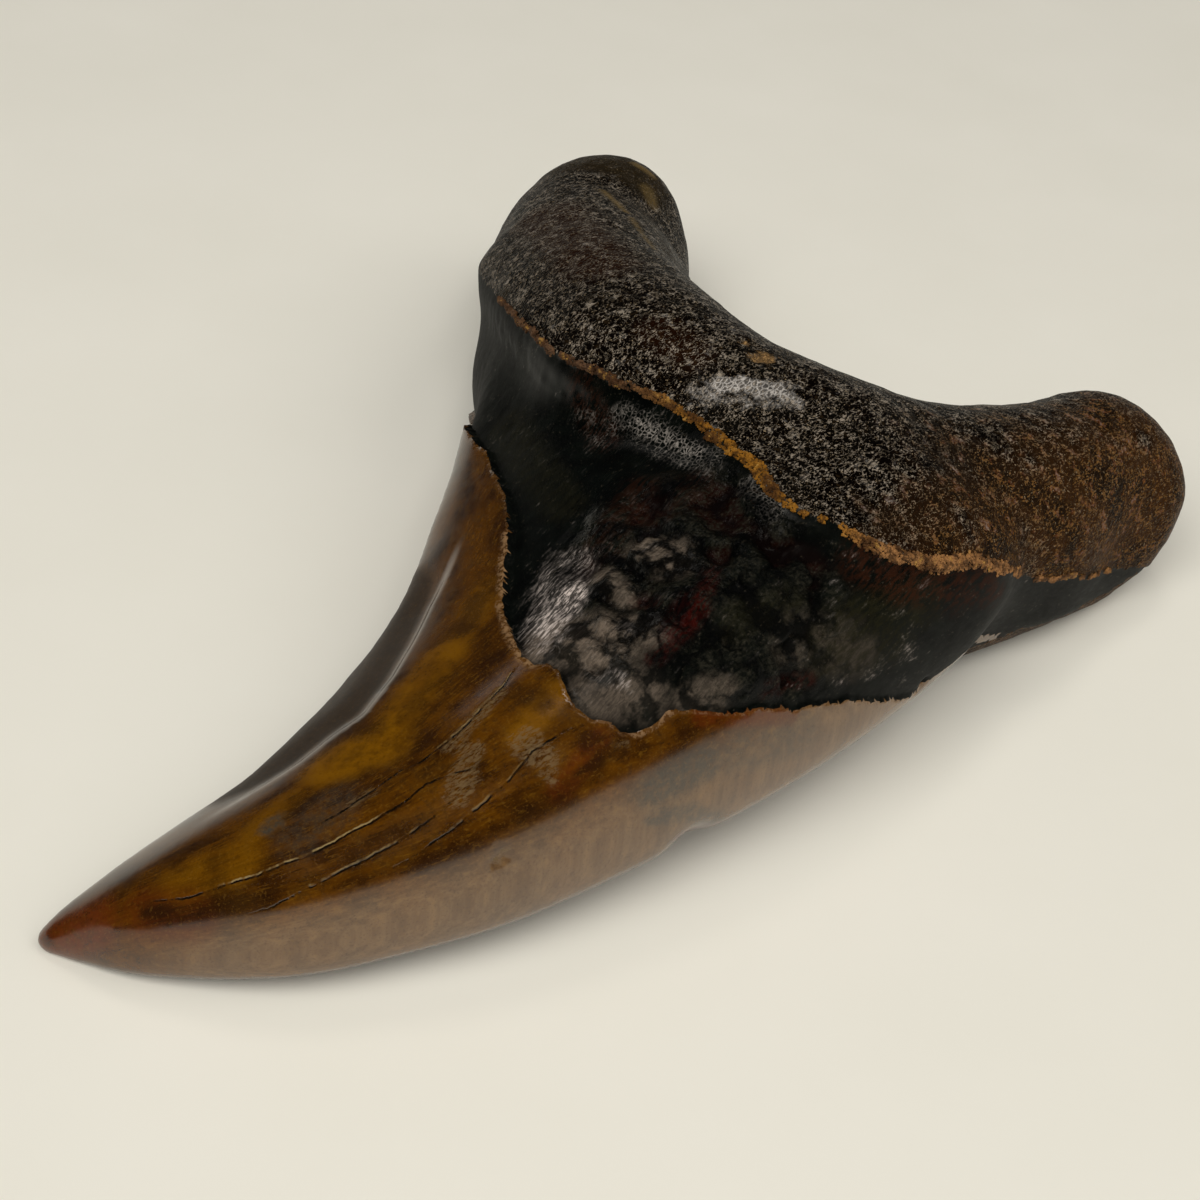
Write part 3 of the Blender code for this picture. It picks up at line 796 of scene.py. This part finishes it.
def frayed(tree, mask, grain, reach):
    """A mark with a ragged, broken border: the grain decides where it reaches less or further."""
    level = add(tree, "Math MULTIPLY_ADD", add(tree, "Math SUBTRACT", grain, 0.5), reach, mask)
    return add(tree, "MapRange", level, 0.15, 1.05, 0.0, 1.0, **SOFT)


def start_marks(tree, *names):
    """The mesh's attributes of these names, each as one number."""
    return {name: add(tree, "Attribute", attribute_name=name).node.outputs["Fac"] for name in names}


def material_enamel():
    """Polished fossil enamel, glassy and amber: long streaks run to the tip, with hairline cracks and chalky
    scars where the gloss is rubbed off."""
    material, tree, shader = start_material("amber_enamel")
    new = partial(add, tree)
    mark = start_marks(tree, "painted_floor_reflection", "yellow", "orange", "umber", "slate", "flange", "chalk", "crown_edge",
                       "rim", "lip")
    # The flow runs across the crown and down it in millimetres, so a streak is its scale's inverse long.
    flow = new("Attribute", attribute_name="flow").node.outputs["Vector"]
    place = new("TexCoord").node.outputs["Object"]
    patches = new("TexNoise", new("VectorMath MULTIPLY", flow, (0.42, 0.17, 5)), 1.0, 3.0, 0.6)
    streak = new("TexNoise", new("VectorMath MULTIPLY", flow, (1.7, 0.34, 5)), 1.0, 4.0, 0.65)
    fine = new("TexNoise", new("VectorMath MULTIPLY", flow, (9.0, 1.5, 5)), 1.0, 3.0, 0.7)
    cloud = new("TexNoise", place, 650.0, 4.0, 0.6)
    mottle = new("TexNoise", place, 2600.0, 3.0, 0.7)
    share = new("Math ADD", patches, new("Math ADD", cloud, streak))
    body = new("Mix RGBA", new("MapRange", share, 1.2, 1.8, 0.0, 1.0, **SOFT), "#2a1300", "#5a3400")
    layers = [(new("MapRange", *ramp, **SOFT), tint) for tint, *ramp in (
        ("#36260c", cloud, 0.5, 0.7, 0.0, 0.35), ("#2a1604", mottle, 0.48, 0.68, 0.0, 0.45),
        ("#241403", streak, 0.54, 0.74, 0.0, 0.35), ("#1d1003", fine, 0.52, 0.72, 0.0, 0.5),
        ("#7a5412", fine, 0.46, 0.3, 0.0, 0.35),
    )]
    # Painted reflection of the pale floor on the crown's steep mesial face.
    pale = new("Mix RGBA", new("MapRange", fine, 0.35, 0.65, 0.0, 1.0, **SOFT), "#8c6f4f", "#765b40")
    layers.append((mark["painted_floor_reflection"], pale))
    # The grey layer is partly the crown's own grey mottling, partly a painted grey reflection.
    for name, tint, *ramp in (
        ("yellow", "#7c5000", cloud, 0.36, 0.6, 0.4, 0.95), ("orange", "#5a2602", mottle, 0.3, 0.6, 0.45, 0.95),
        ("umber", "#190c04", streak, 0.35, 0.6, 0.4, 1.0), ("slate", "#3c3a33", mottle, 0.35, 0.6, 0.35, 0.9),
    ):
        patchy = new("MapRange", *ramp, **SOFT)
        layers.append((new("Math MULTIPLY", mark[name], patchy), tint))
    flange = new("MapRange", mark["flange"], 0.1, 0.9, 0.0, 0.85, **SOFT)
    # Fine speckle all over, about a tenth of a millimetre across.
    speckle = new("TexNoise", place, 8000.0, 2.0, 0.6)
    layers += [
        (flange, "#1c0f00"),
        (new("MapRange", speckle, 0.56, 0.68, 0.0, 0.25, **SOFT), "#221004"),
        (new("MapRange", speckle, 0.42, 0.32, 0.0, 0.2, **SOFT), "#7d5a22"),
    ]
    # Chalky scars, broken up by the grain below them, and the crumbly rim along the torn edge.
    broken = new("TexNoise", new("VectorMath MULTIPLY", flow, (8.0, 2.6, 5)), 1.0, 4.0, 0.75)
    broken = new("MapRange", broken, 0.41, 0.62, 0.0, 1.0, **SOFT)
    chalk = new("Math MULTIPLY", frayed(tree, mark["chalk"], fine, 1.0), broken)
    uneven = new("Math MULTIPLY", new("TexNoise", place, 3000.0, 2.0), 0.22)
    edge = new("Math SUBTRACT", mark["crown_edge"], uneven)
    rim = new("MapRange", edge, 0.0, new("MapRange", mark["rim"], 0.0, 1.0, 0.1, 0.36), 1.0, 0.0, **SOFT)
    rim = new("Math MULTIPLY", rim, new("MapRange", mark["rim"], 0.0, 1.0, 0.25, 0.95))
    crumbly = new("MapRange", new("TexNoise", place, 3600.0, 3.0, 0.7), 0.42, 0.56, 1.0, 0.15, **SOFT)
    rim = new("Math MULTIPLY", rim, crumbly)
    body = layered(tree, body, layers + [(chalk, "#665133"), (rim, "#8a6a48")])
    # Each crack is a dark groove that comes and goes, with a paler lip on its lower side, a painted highlight where
    # the raised lip catches the light.
    height = new("Math MULTIPLY", mottle, 0.06)
    height = new("Math SUBTRACT", height, new("Math MULTIPLY", chalk, 0.35))
    for number in range(len(CRACKS)):
        crack = new("Attribute", attribute_name=f"crack_{number}").node.outputs["Vector"]
        parts = new("SeparateXYZ", crack).node
        gap, run, ends = (parts.outputs[axis] for axis in "XYZ")
        gap = new("Math MULTIPLY_ADD", new("Math SUBTRACT", mottle, 0.5), 0.16, gap)
        chance = new("TexNoise", new("CombineXYZ", run, float(number), 0.0), 0.9, 3.0, 0.7)
        there = new("Math MULTIPLY", ends, new("MapRange", chance, 0.4, 0.54, 0.15, 1.0, **SOFT))
        groove = new("MapRange", new("Math ABSOLUTE", gap), 0.02, 0.07, 1.0, 0.0, **SOFT)
        groove = new("Math MULTIPLY", groove, there)
        beside = new("Math ABSOLUTE", new("Math ADD", gap, 0.085))
        lip = new("MapRange", beside, 0.015, 0.06, 1.0, 0.0, **SOFT)
        shown = new("Math MULTIPLY", mark["lip"], new("MapRange", chance, 0.44, 0.56, 0.05, 1.0, **SOFT))
        lip = new("Math MULTIPLY", lip, new("Math MULTIPLY", shown, ends))
        body = layered(tree, body, ((lip, "#8d7850"), (groove, "#0d0702")))
        height = new("Math SUBTRACT", height, new("Math MULTIPLY", groove, 1.2))
        height = new("Math ADD", height, new("Math MULTIPLY", lip, 0.4))
    tree.links.new(body, shader.inputs["Base Color"])
    rough = new("MapRange", mottle, 0.3, 0.75, 0.15, 0.22)
    rough = new("Mix FLOAT", new("Math MAXIMUM", chalk, rim), rough, 0.6)
    # The distal flange is duller, or the pale floor would whiten it.
    tree.links.new(new("Math MULTIPLY_ADD", flange, 0.4, rough), shader.inputs["Roughness"])
    shader.inputs["IOR"].default_value = 1.62
    tree.links.new(new("Bump", 0.6, 0.00005, None, height), shader.inputs["Normal"])
    return material


def material_dentine():
    """Polished fossil dentine of the neck: near-black with a green cast, fibrous, knobbly where it is worn,
    with rust and deep red in its hollows."""
    material, tree, shader = start_material("polished_neck_dentine")
    new = partial(add, tree)
    mark = start_marks(tree, "worn_patch", "relief", "tan", "moss", "rust", "red", "painted_fibre_shine", "painted_pore_highlights", "dull")
    place = new("TexCoord").node.outputs["Object"]
    # Fibres are about 0.1 mm thick, drawn a little coarser than the real ones so that they show.
    strands = new("VectorMath MULTIPLY", place, (1.0, 0.14, 0.5))
    fibre = new("TexNoise", strands, 6500.0, 3.0, 0.7)
    hair = new("TexNoise", strands, 9500.0, 4.0, 0.75)
    cloud = new("TexNoise", place, 700.0, 3.0, 0.6)
    grain = new("TexNoise", new("VectorMath MULTIPLY", place, (1.0, 0.5, 1.0)), 7000.0, 2.0, 0.6)
    body = new("Mix RGBA", new("MapRange", cloud, 0.35, 0.68, 0.0, 1.0, **SOFT), "#020302", "#070a07")
    # Knobs about a millimetre across stand close together on the worn patch; their tops are painted paler as a
    # highlight, and the lines where knobs touch are painted near-black as shade.
    worn = mark["worn_patch"]
    warp = new("TexNoise", place, 1600.0, 3.0, 0.6).node.outputs["Color"]
    bent = new("VectorMath MULTIPLY_ADD", warp, (0.0014, 0.0014, 0.0014), place)
    top = new("MapRange", new("TexVoronoi", bent, 850.0), 0.2, 0.72, 1.0, 0.0)
    knob = new("Math MULTIPLY", top, worn)
    painted_crease_shade = new("Math SUBTRACT", worn, new("Math MULTIPLY", knob, 1.7))
    # The tan is strongest on the knobs' tops: partly the worn dentine's own grey-brown, partly a painted highlight.
    tan = new("Math MULTIPLY", mark["tan"], new("MapRange", top, 0.1, 0.6, 0.15, 1.0))
    layers = [
        (new("MapRange", mark["relief"], -0.2, -0.5, 0.0, 0.8, **SOFT), "#1a0502"),
        (new("Math MULTIPLY", knob, new("MapRange", grain, 0.4, 0.6, 0.1, 0.9, **SOFT)), "#24221b"),
        (new("Math MULTIPLY", tan, new("MapRange", hair, 0.42, 0.6, 0.5, 1.0, **SOFT)), "#6b5e52"),
    ]
    for name, tint, low, high in (
        ("moss", "#1c1a0c", 0.3, 1.0), ("rust", "#2c1306", 0.0, 0.9), ("red", "#300703", 0.1, 1.0),
    ):
        patchy = new("MapRange", fibre, 0.4, 0.6, low, high, **SOFT)
        layers.append((new("Math MULTIPLY", mark[name], patchy), tint))
    # Painted highlights on the rubbed dentine: a shine in fibres on the worn patch, and a bright lattice between
    # the pores below the crust.
    highlight_lattice = new("TexVoronoi DISTANCE_TO_EDGE", place, 4600.0)
    highlight_lattice = new("MapRange", highlight_lattice, 0.04, 0.2, 1.0, 0.0, **SOFT)
    for name, tint, pattern in (
        ("painted_fibre_shine", "#c8bab2", new("MapRange", hair, 0.47, 0.58, 0.1, 1.0, **SOFT)),
        ("painted_pore_highlights", "#8a837c", new("Math MULTIPLY", highlight_lattice, new("MapRange", hair, 0.42, 0.6, 0.1, 1.0))),
    ):
        mask = frayed(tree, mark[name], new("Mix FLOAT", 0.5, cloud, fibre), 2.2)
        layers.append((new("Math MULTIPLY", mask, pattern), tint))
    # Painted shade: near-black where the knobs touch.
    layers += [
        (new("Math MULTIPLY", new("Math MAXIMUM", painted_crease_shade, 0.0), 0.8), "#020202"),
        (new("MapRange", grain, 0.64, 0.74, 0.0, 0.5, **SOFT), "#3f392f"),
    ]
    tree.links.new(layered(tree, body, layers), shader.inputs["Base Color"])
    # The steep flanks are duller and smoother, or the pale floor would whiten them.
    rough = new("Math MULTIPLY_ADD", mark["dull"], 0.4, new("MapRange", fibre, 0.3, 0.7, 0.22, 0.34))
    tree.links.new(rough, shader.inputs["Roughness"])
    shader.inputs["IOR"].default_value = 1.55
    shader.inputs["Specular IOR Level"].default_value = 0.2
    height = new("Math ADD", fibre, new("Math MULTIPLY", grain, 0.5))
    height = new("Math MULTIPLY", height, new("MapRange", worn, 0.0, 1.0, 0.1, 1.3))
    height = new("Math MULTIPLY", height, new("Math MULTIPLY_ADD", mark["dull"], -0.8, 1.0))
    height = new("Math MULTIPLY_ADD", knob, 6.0, height)
    tree.links.new(new("Bump", 0.7, 0.00004, None, height), shader.inputs["Normal"])
    return material


def material_root():
    """Porous fossil root bone: pale grains between dark pores, brown on the mesial lobe, worn smooth at the
    lobes' tips."""
    material, tree, shader = start_material("grainy_root_bone")
    new = partial(add, tree)
    mark = start_marks(tree, "worn", "moss", "rust", "painted_bone_highlight", "ochre", "bead")
    place = new("TexCoord").node.outputs["Object"]
    # Grains 0.2 mm apart, as single cells and as short crests; the gaps between them are the pores.
    spread = new("TexNoise", place, 4000.0, 2.0, 0.6).node.outputs["Color"]
    strands = new("VectorMath MULTIPLY", place, (1.0, 0.55, 1.0))
    strands = new("VectorMath MULTIPLY_ADD", spread, (0.00014, 0.00014, 0.00014), strands)
    crest = new("Math SUBTRACT", new("TexNoise", strands, 3500.0, 2.0, 0.6), 0.5)
    crest = new("MapRange", new("Math ABSOLUTE", crest), 0.0, 0.09, 0.95, 0.0)
    cells = new("MapRange", new("TexVoronoi", strands, 5000.0), 0.1, 0.62, 0.9, 0.0)
    grain = new("Math MAXIMUM", cells, crest)
    cloud = new("TexNoise", place, 380.0, 3.0, 0.6)
    middle = new("TexNoise", place, 1500.0, 3.0, 0.6)
    x = new("SeparateXYZ", place).node.outputs["X"]
    lean = new("Math ADD", x, new("Math MULTIPLY", cloud, 0.02))
    brown = new("MapRange", lean, 0.0225, 0.0300, 0.0, 1.0, **SOFT)
    level = new("Math ADD", grain, new("Math MULTIPLY", middle, 1.3))
    speck = new("MapRange", level, 1.24, 1.56, 0.0, 1.0, **SOFT)
    speck = new("Math MULTIPLY", speck, new("MapRange", mark["worn"], 0.15, 0.8, 1.0, 0.12, **SOFT))
    speck = new("Math MULTIPLY", speck, new("MapRange", mark["moss"], 0.0, 1.0, 1.0, 0.45))
    pore = layered(tree, new("Mix RGBA", brown, "#060302", "#38220f"), (
        (new("MapRange", cloud, 0.4, 0.65, 0.0, 0.8, **SOFT), "#0d0b08"), (mark["worn"], "#282014"),
        (mark["rust"], "#200e05"),
    ))
    # The grains' pale colour is partly the bone's own, partly painted highlights on the grains; the bone's own
    # gloss is turned nearly off below.
    shade = new("MapRange", new("TexNoise", place, 2600.0, 2.0, 0.6), 0.36, 0.64, 0.0, 1.0, **SOFT)
    pale = new("Mix RGBA", brown, new("Mix RGBA", shade, "#5a5043", "#94887a"), "#73522c")
    orange = new("Math MULTIPLY", brown, new("MapRange", middle, 0.55, 0.7, 0.0, 0.6, **SOFT))
    # A painted highlight: a bright lattice between the pores, where the rubbed bone shines.
    highlight_lattice = new("TexVoronoi DISTANCE_TO_EDGE", strands, 5000.0)
    highlight_lattice = new("MapRange", highlight_lattice, 0.04, 0.2, 1.0, 0.2, **SOFT)
    highlight_lattice = new("Math MULTIPLY", frayed(tree, mark["painted_bone_highlight"], middle, 2.0), highlight_lattice)
    # Painted highlights: tiny bright points scattered over the bone.
    painted_glitter = new("MapRange", new("TexNoise", place, 8000.0, 2.0, 0.6), 0.64, 0.7, 0.0, 0.7, **SOFT)
    body = layered(tree, new("Mix RGBA", speck, pore, pale), (
        (orange, "#6e3a0c"), (painted_glitter, "#a08c70"), (highlight_lattice, "#bab3ad"), (mark["ochre"], "#75603b"),
        (frayed(tree, mark["bead"], shade, 0.5), new("Mix RGBA", grain, "#a07e53", "#5f462c")),
    ))
    tree.links.new(body, shader.inputs["Base Color"])
    tree.links.new(new("MapRange", speck, 0.0, 1.0, 0.4, 0.24), shader.inputs["Roughness"])
    shader.inputs["IOR"].default_value = 1.55
    # The pores swallow most of the gloss.
    shader.inputs["Specular IOR Level"].default_value = 0.02
    tree.links.new(new("Bump", 0.9, 0.00009, None, level), shader.inputs["Normal"])
    return material


def material_crust():
    """Ochre mineral crust, dry and crumbly: brown at the distal end, ochre in the middle, tan mesially."""
    material, tree, shader = start_material("ochre_mineral_crust")
    new = partial(add, tree)
    place = new("TexCoord").node.outputs["Object"]
    x = new("SeparateXYZ", place).node.outputs["X"]
    grain = new("TexNoise", place, 2200.0, 3.0, 0.65)
    lumps = new("TexNoise", place, 800.0, 3.0, 0.65)
    body = new("Mix RGBA", new("MapRange", x, -0.001, 0.006, 0.0, 1.0, **SOFT), "#604632", "#8a5c1c")
    body = layered(tree, body, [(new("MapRange", *ramp, **SOFT), tint) for tint, *ramp in (
        ("#93683f", x, 0.0135, 0.0165, 0.0, 1.0), ("#432a16", lumps, 0.42, 0.6, 0.0, 0.85),
        ("#2a1a0e", grain, 0.45, 0.62, 0.0, 0.75), ("#a8803f", grain, 0.42, 0.3, 0.0, 0.7),
    )])
    tree.links.new(body, shader.inputs["Base Color"])
    shader.inputs["Roughness"].default_value = 0.8
    tree.links.new(new("Bump", 0.8, 0.00006, None, grain), shader.inputs["Normal"])
    return material


def material_floor():
    """Pale moulded board, satin, with a faint mottle."""
    material, tree, shader = start_material("pale_board")
    place = add(tree, "TexCoord").node.outputs["Object"]
    mottle = add(tree, "TexNoise", place, 60.0, 4.0, 0.6)
    tree.links.new(add(tree, "Mix RGBA", mottle, "#f2eee3", "#f7f3ea"), shader.inputs["Base Color"])
    tree.links.new(add(tree, "MapRange", mottle, 0.3, 0.7, 0.5, 0.6), shader.inputs["Roughness"])
    return material


# ----------------------------------------------------------------------------------------------------
# The crumbly crust: small rough grains spread over the crusted faces of the tooth.
# ----------------------------------------------------------------------------------------------------
def crust_bed(tooth_mesh):
    """A copy of the tooth's faces that carry crust."""
    bm = bmesh.new()
    bm.from_mesh(tooth_mesh)
    layer = bm.verts.layers.float["crust"]
    bare = [f for f in bm.faces if max(v[layer] for v in f.verts) < 0.5]
    bmesh.ops.delete(bm, geom=bare, context="FACES")
    mesh = bpy.data.meshes.new("crust_bed")
    bm.to_mesh(mesh)
    bm.free()
    return mesh


def crust_tree(material):
    """Rough grains, each a warped ball of 20 faces, on points spread over a mesh and turned at random."""
    tree = bpy.data.node_groups.new("crumbs_over_faces", "GeometryNodeTree")
    face = tree.interface
    face.new_socket("Geometry", in_out="INPUT", socket_type="NodeSocketGeometry")
    # Grains to a square metre, and the least and greatest radius of a grain in metres.
    for name, value in (("Density", 140e6), ("Smallest", 0.00003), ("Largest", 0.00011)):
        face.new_socket(name, in_out="INPUT", socket_type="NodeSocketFloat").default_value = value
    face.new_socket("Seed", in_out="INPUT", socket_type="NodeSocketInt").default_value = 5
    face.new_socket("Geometry", in_out="OUTPUT", socket_type="NodeSocketGeometry")
    given, spread, grow, ball, place, warp, centred, size, turn, solid, finish, made = (
        tree.nodes.new(kind) for kind in (
            "NodeGroupInput", "GeometryNodeDistributePointsOnFaces", "GeometryNodeInstanceOnPoints",
            "GeometryNodeMeshIcoSphere", "GeometryNodeSetPosition", "ShaderNodeTexNoise",
            "ShaderNodeVectorMath", "FunctionNodeRandomValue", "FunctionNodeRandomValue",
            "GeometryNodeRealizeInstances", "GeometryNodeSetMaterial", "NodeGroupOutput",
        )
    )
    turn.data_type = "FLOAT_VECTOR"
    turn.inputs["Max"].default_value = (math.tau, math.tau, math.tau)
    ball.inputs["Subdivisions"].default_value = 1
    ball.inputs["Radius"].default_value = 1.0
    centred.operation = "MULTIPLY_ADD"
    centred.inputs[1].default_value = (1.1, 1.1, 1.1)
    centred.inputs[2].default_value = (-0.55, -0.55, -0.55)
    warp.inputs["Scale"].default_value = 1.3
    finish.inputs["Material"].default_value = material
    for source, output, target, into in (
        (given, "Geometry", spread, "Mesh"), (given, "Density", spread, "Density"),
        (given, "Seed", spread, "Seed"), (given, "Smallest", size, 2), (given, "Largest", size, 3),
        (given, "Seed", size, "Seed"), (warp, "Color", centred, 0), (ball, "Mesh", place, "Geometry"),
        (centred, "Vector", place, "Offset"), (spread, "Points", grow, "Points"),
        (place, "Geometry", grow, "Instance"), (turn, 0, grow, "Rotation"), (size, 1, grow, "Scale"),
        (grow, "Instances", solid, "Geometry"), (solid, "Geometry", finish, "Geometry"),
        (finish, "Geometry", made, "Geometry"),
    ):
        tree.links.new(source.outputs[output], target.inputs[into])
    return tree


def build_crust(tooth_mesh):
    mesh = through_modifier(crust_bed(tooth_mesh), "NODES", node_group=crust_tree(material_crust()))
    mesh.name = "crust"
    mesh.shade_flat()
    return show("crust", mesh)


# ----------------------------------------------------------------------------------------------------
# Pieces, floor, light and camera
# ----------------------------------------------------------------------------------------------------
# Half the floor's side, in metres.
FLOOR_HALF = 1.2


def build_floor():
    bm = bmesh.new()
    bmesh.ops.create_grid(bm, x_segments=8, y_segments=8, size=FLOOR_HALF)
    mesh = bpy.data.meshes.new("floor")
    bm.to_mesh(mesh)
    bm.free()
    mesh.materials.append(material_floor())
    return show("floor", mesh)


def softbox(name, azimuth, elevation, distance, size, power, tint, mirrored):
    """An area light that faces the tooth. Azimuth is from the camera's forward way, + to its right. One that
    isn't mirrored lights the colours but doesn't show in the gloss, as if it were polarised away."""
    forward = Vector((-math.sin(TURN), math.cos(TURN), 0))
    right = Vector((math.cos(TURN), math.sin(TURN), 0))
    a, e = math.radians(azimuth), math.radians(elevation)
    way = (forward * math.cos(a) + right * math.sin(a)) * math.cos(e) + Vector((0, 0, math.sin(e)))
    light = bpy.data.lights.new(name, "AREA")
    light.shape = "RECTANGLE"
    light.size, light.size_y = size
    light.energy = power
    light.color = colour(tint)[:3]
    obj = show(name, light)
    obj.location = way * distance
    obj.rotation_euler = (-way).to_track_quat("-Z", "Y").to_euler()
    obj.visible_glossy = mirrored


def build_light():
    softbox("wide_front", -165, 52, 0.8, (0.7, 0.5), 5.7, "#fffef8", False)
    softbox("wide_right", 110, 50, 0.7, (0.5, 0.5), 1.45, "#fffdf6", False)
    softbox("lamp_above", 6, 75, 0.6, (0.12, 0.12), 0.2, "#fff8ee", True)
    softbox("lamp_window", -37, 42, 0.6, (0.1, 0.08), 0.02, "#fff6f0", True)
    # The dim room, which keeps the polished parts nearly black.
    world = bpy.data.worlds.new("studio")
    world.use_nodes = True
    world.node_tree.nodes["Background"].inputs["Color"].default_value = colour("#232527")
    bpy.context.scene.world = world


def build_camera():
    right, up, forward = picture_axes()
    lens = bpy.data.cameras.new("camera")
    lens.sensor_fit = "HORIZONTAL"
    lens.sensor_width = LENS_SENSOR
    lens.lens = LENS_SENSOR / 2 / math.tan(math.radians(VIEW_ANGLE / 2))
    lens.clip_start = 0.001
    camera = show("camera", lens)
    turn = Matrix((right, up, -forward)).transposed()
    camera.matrix_world = Matrix.Translation((CAMERA - Vector(MIDDLE)) * MM) @ turn.to_4x4()
    bpy.context.scene.camera = camera


def main():
    mesh = dressed_tooth()
    # In the order of ENAMEL, DENTINE and BONE.
    for material in (material_enamel(), material_dentine(), material_root()):
        mesh.materials.append(material)
    tooth = show("tooth_dressed", mesh)
    crust = build_crust(mesh)
    for piece in (tooth, crust):
        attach(piece, "root")
    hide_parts("tooth")
    build_floor()
    build_light()
    build_camera()
    bpy.context.scene.view_settings.view_transform = "Standard"
    for piece in (tooth, crust):
        piece.data.calc_loop_triangles()
        print(piece.name, "triangles", len(piece.data.loop_triangles))


main()
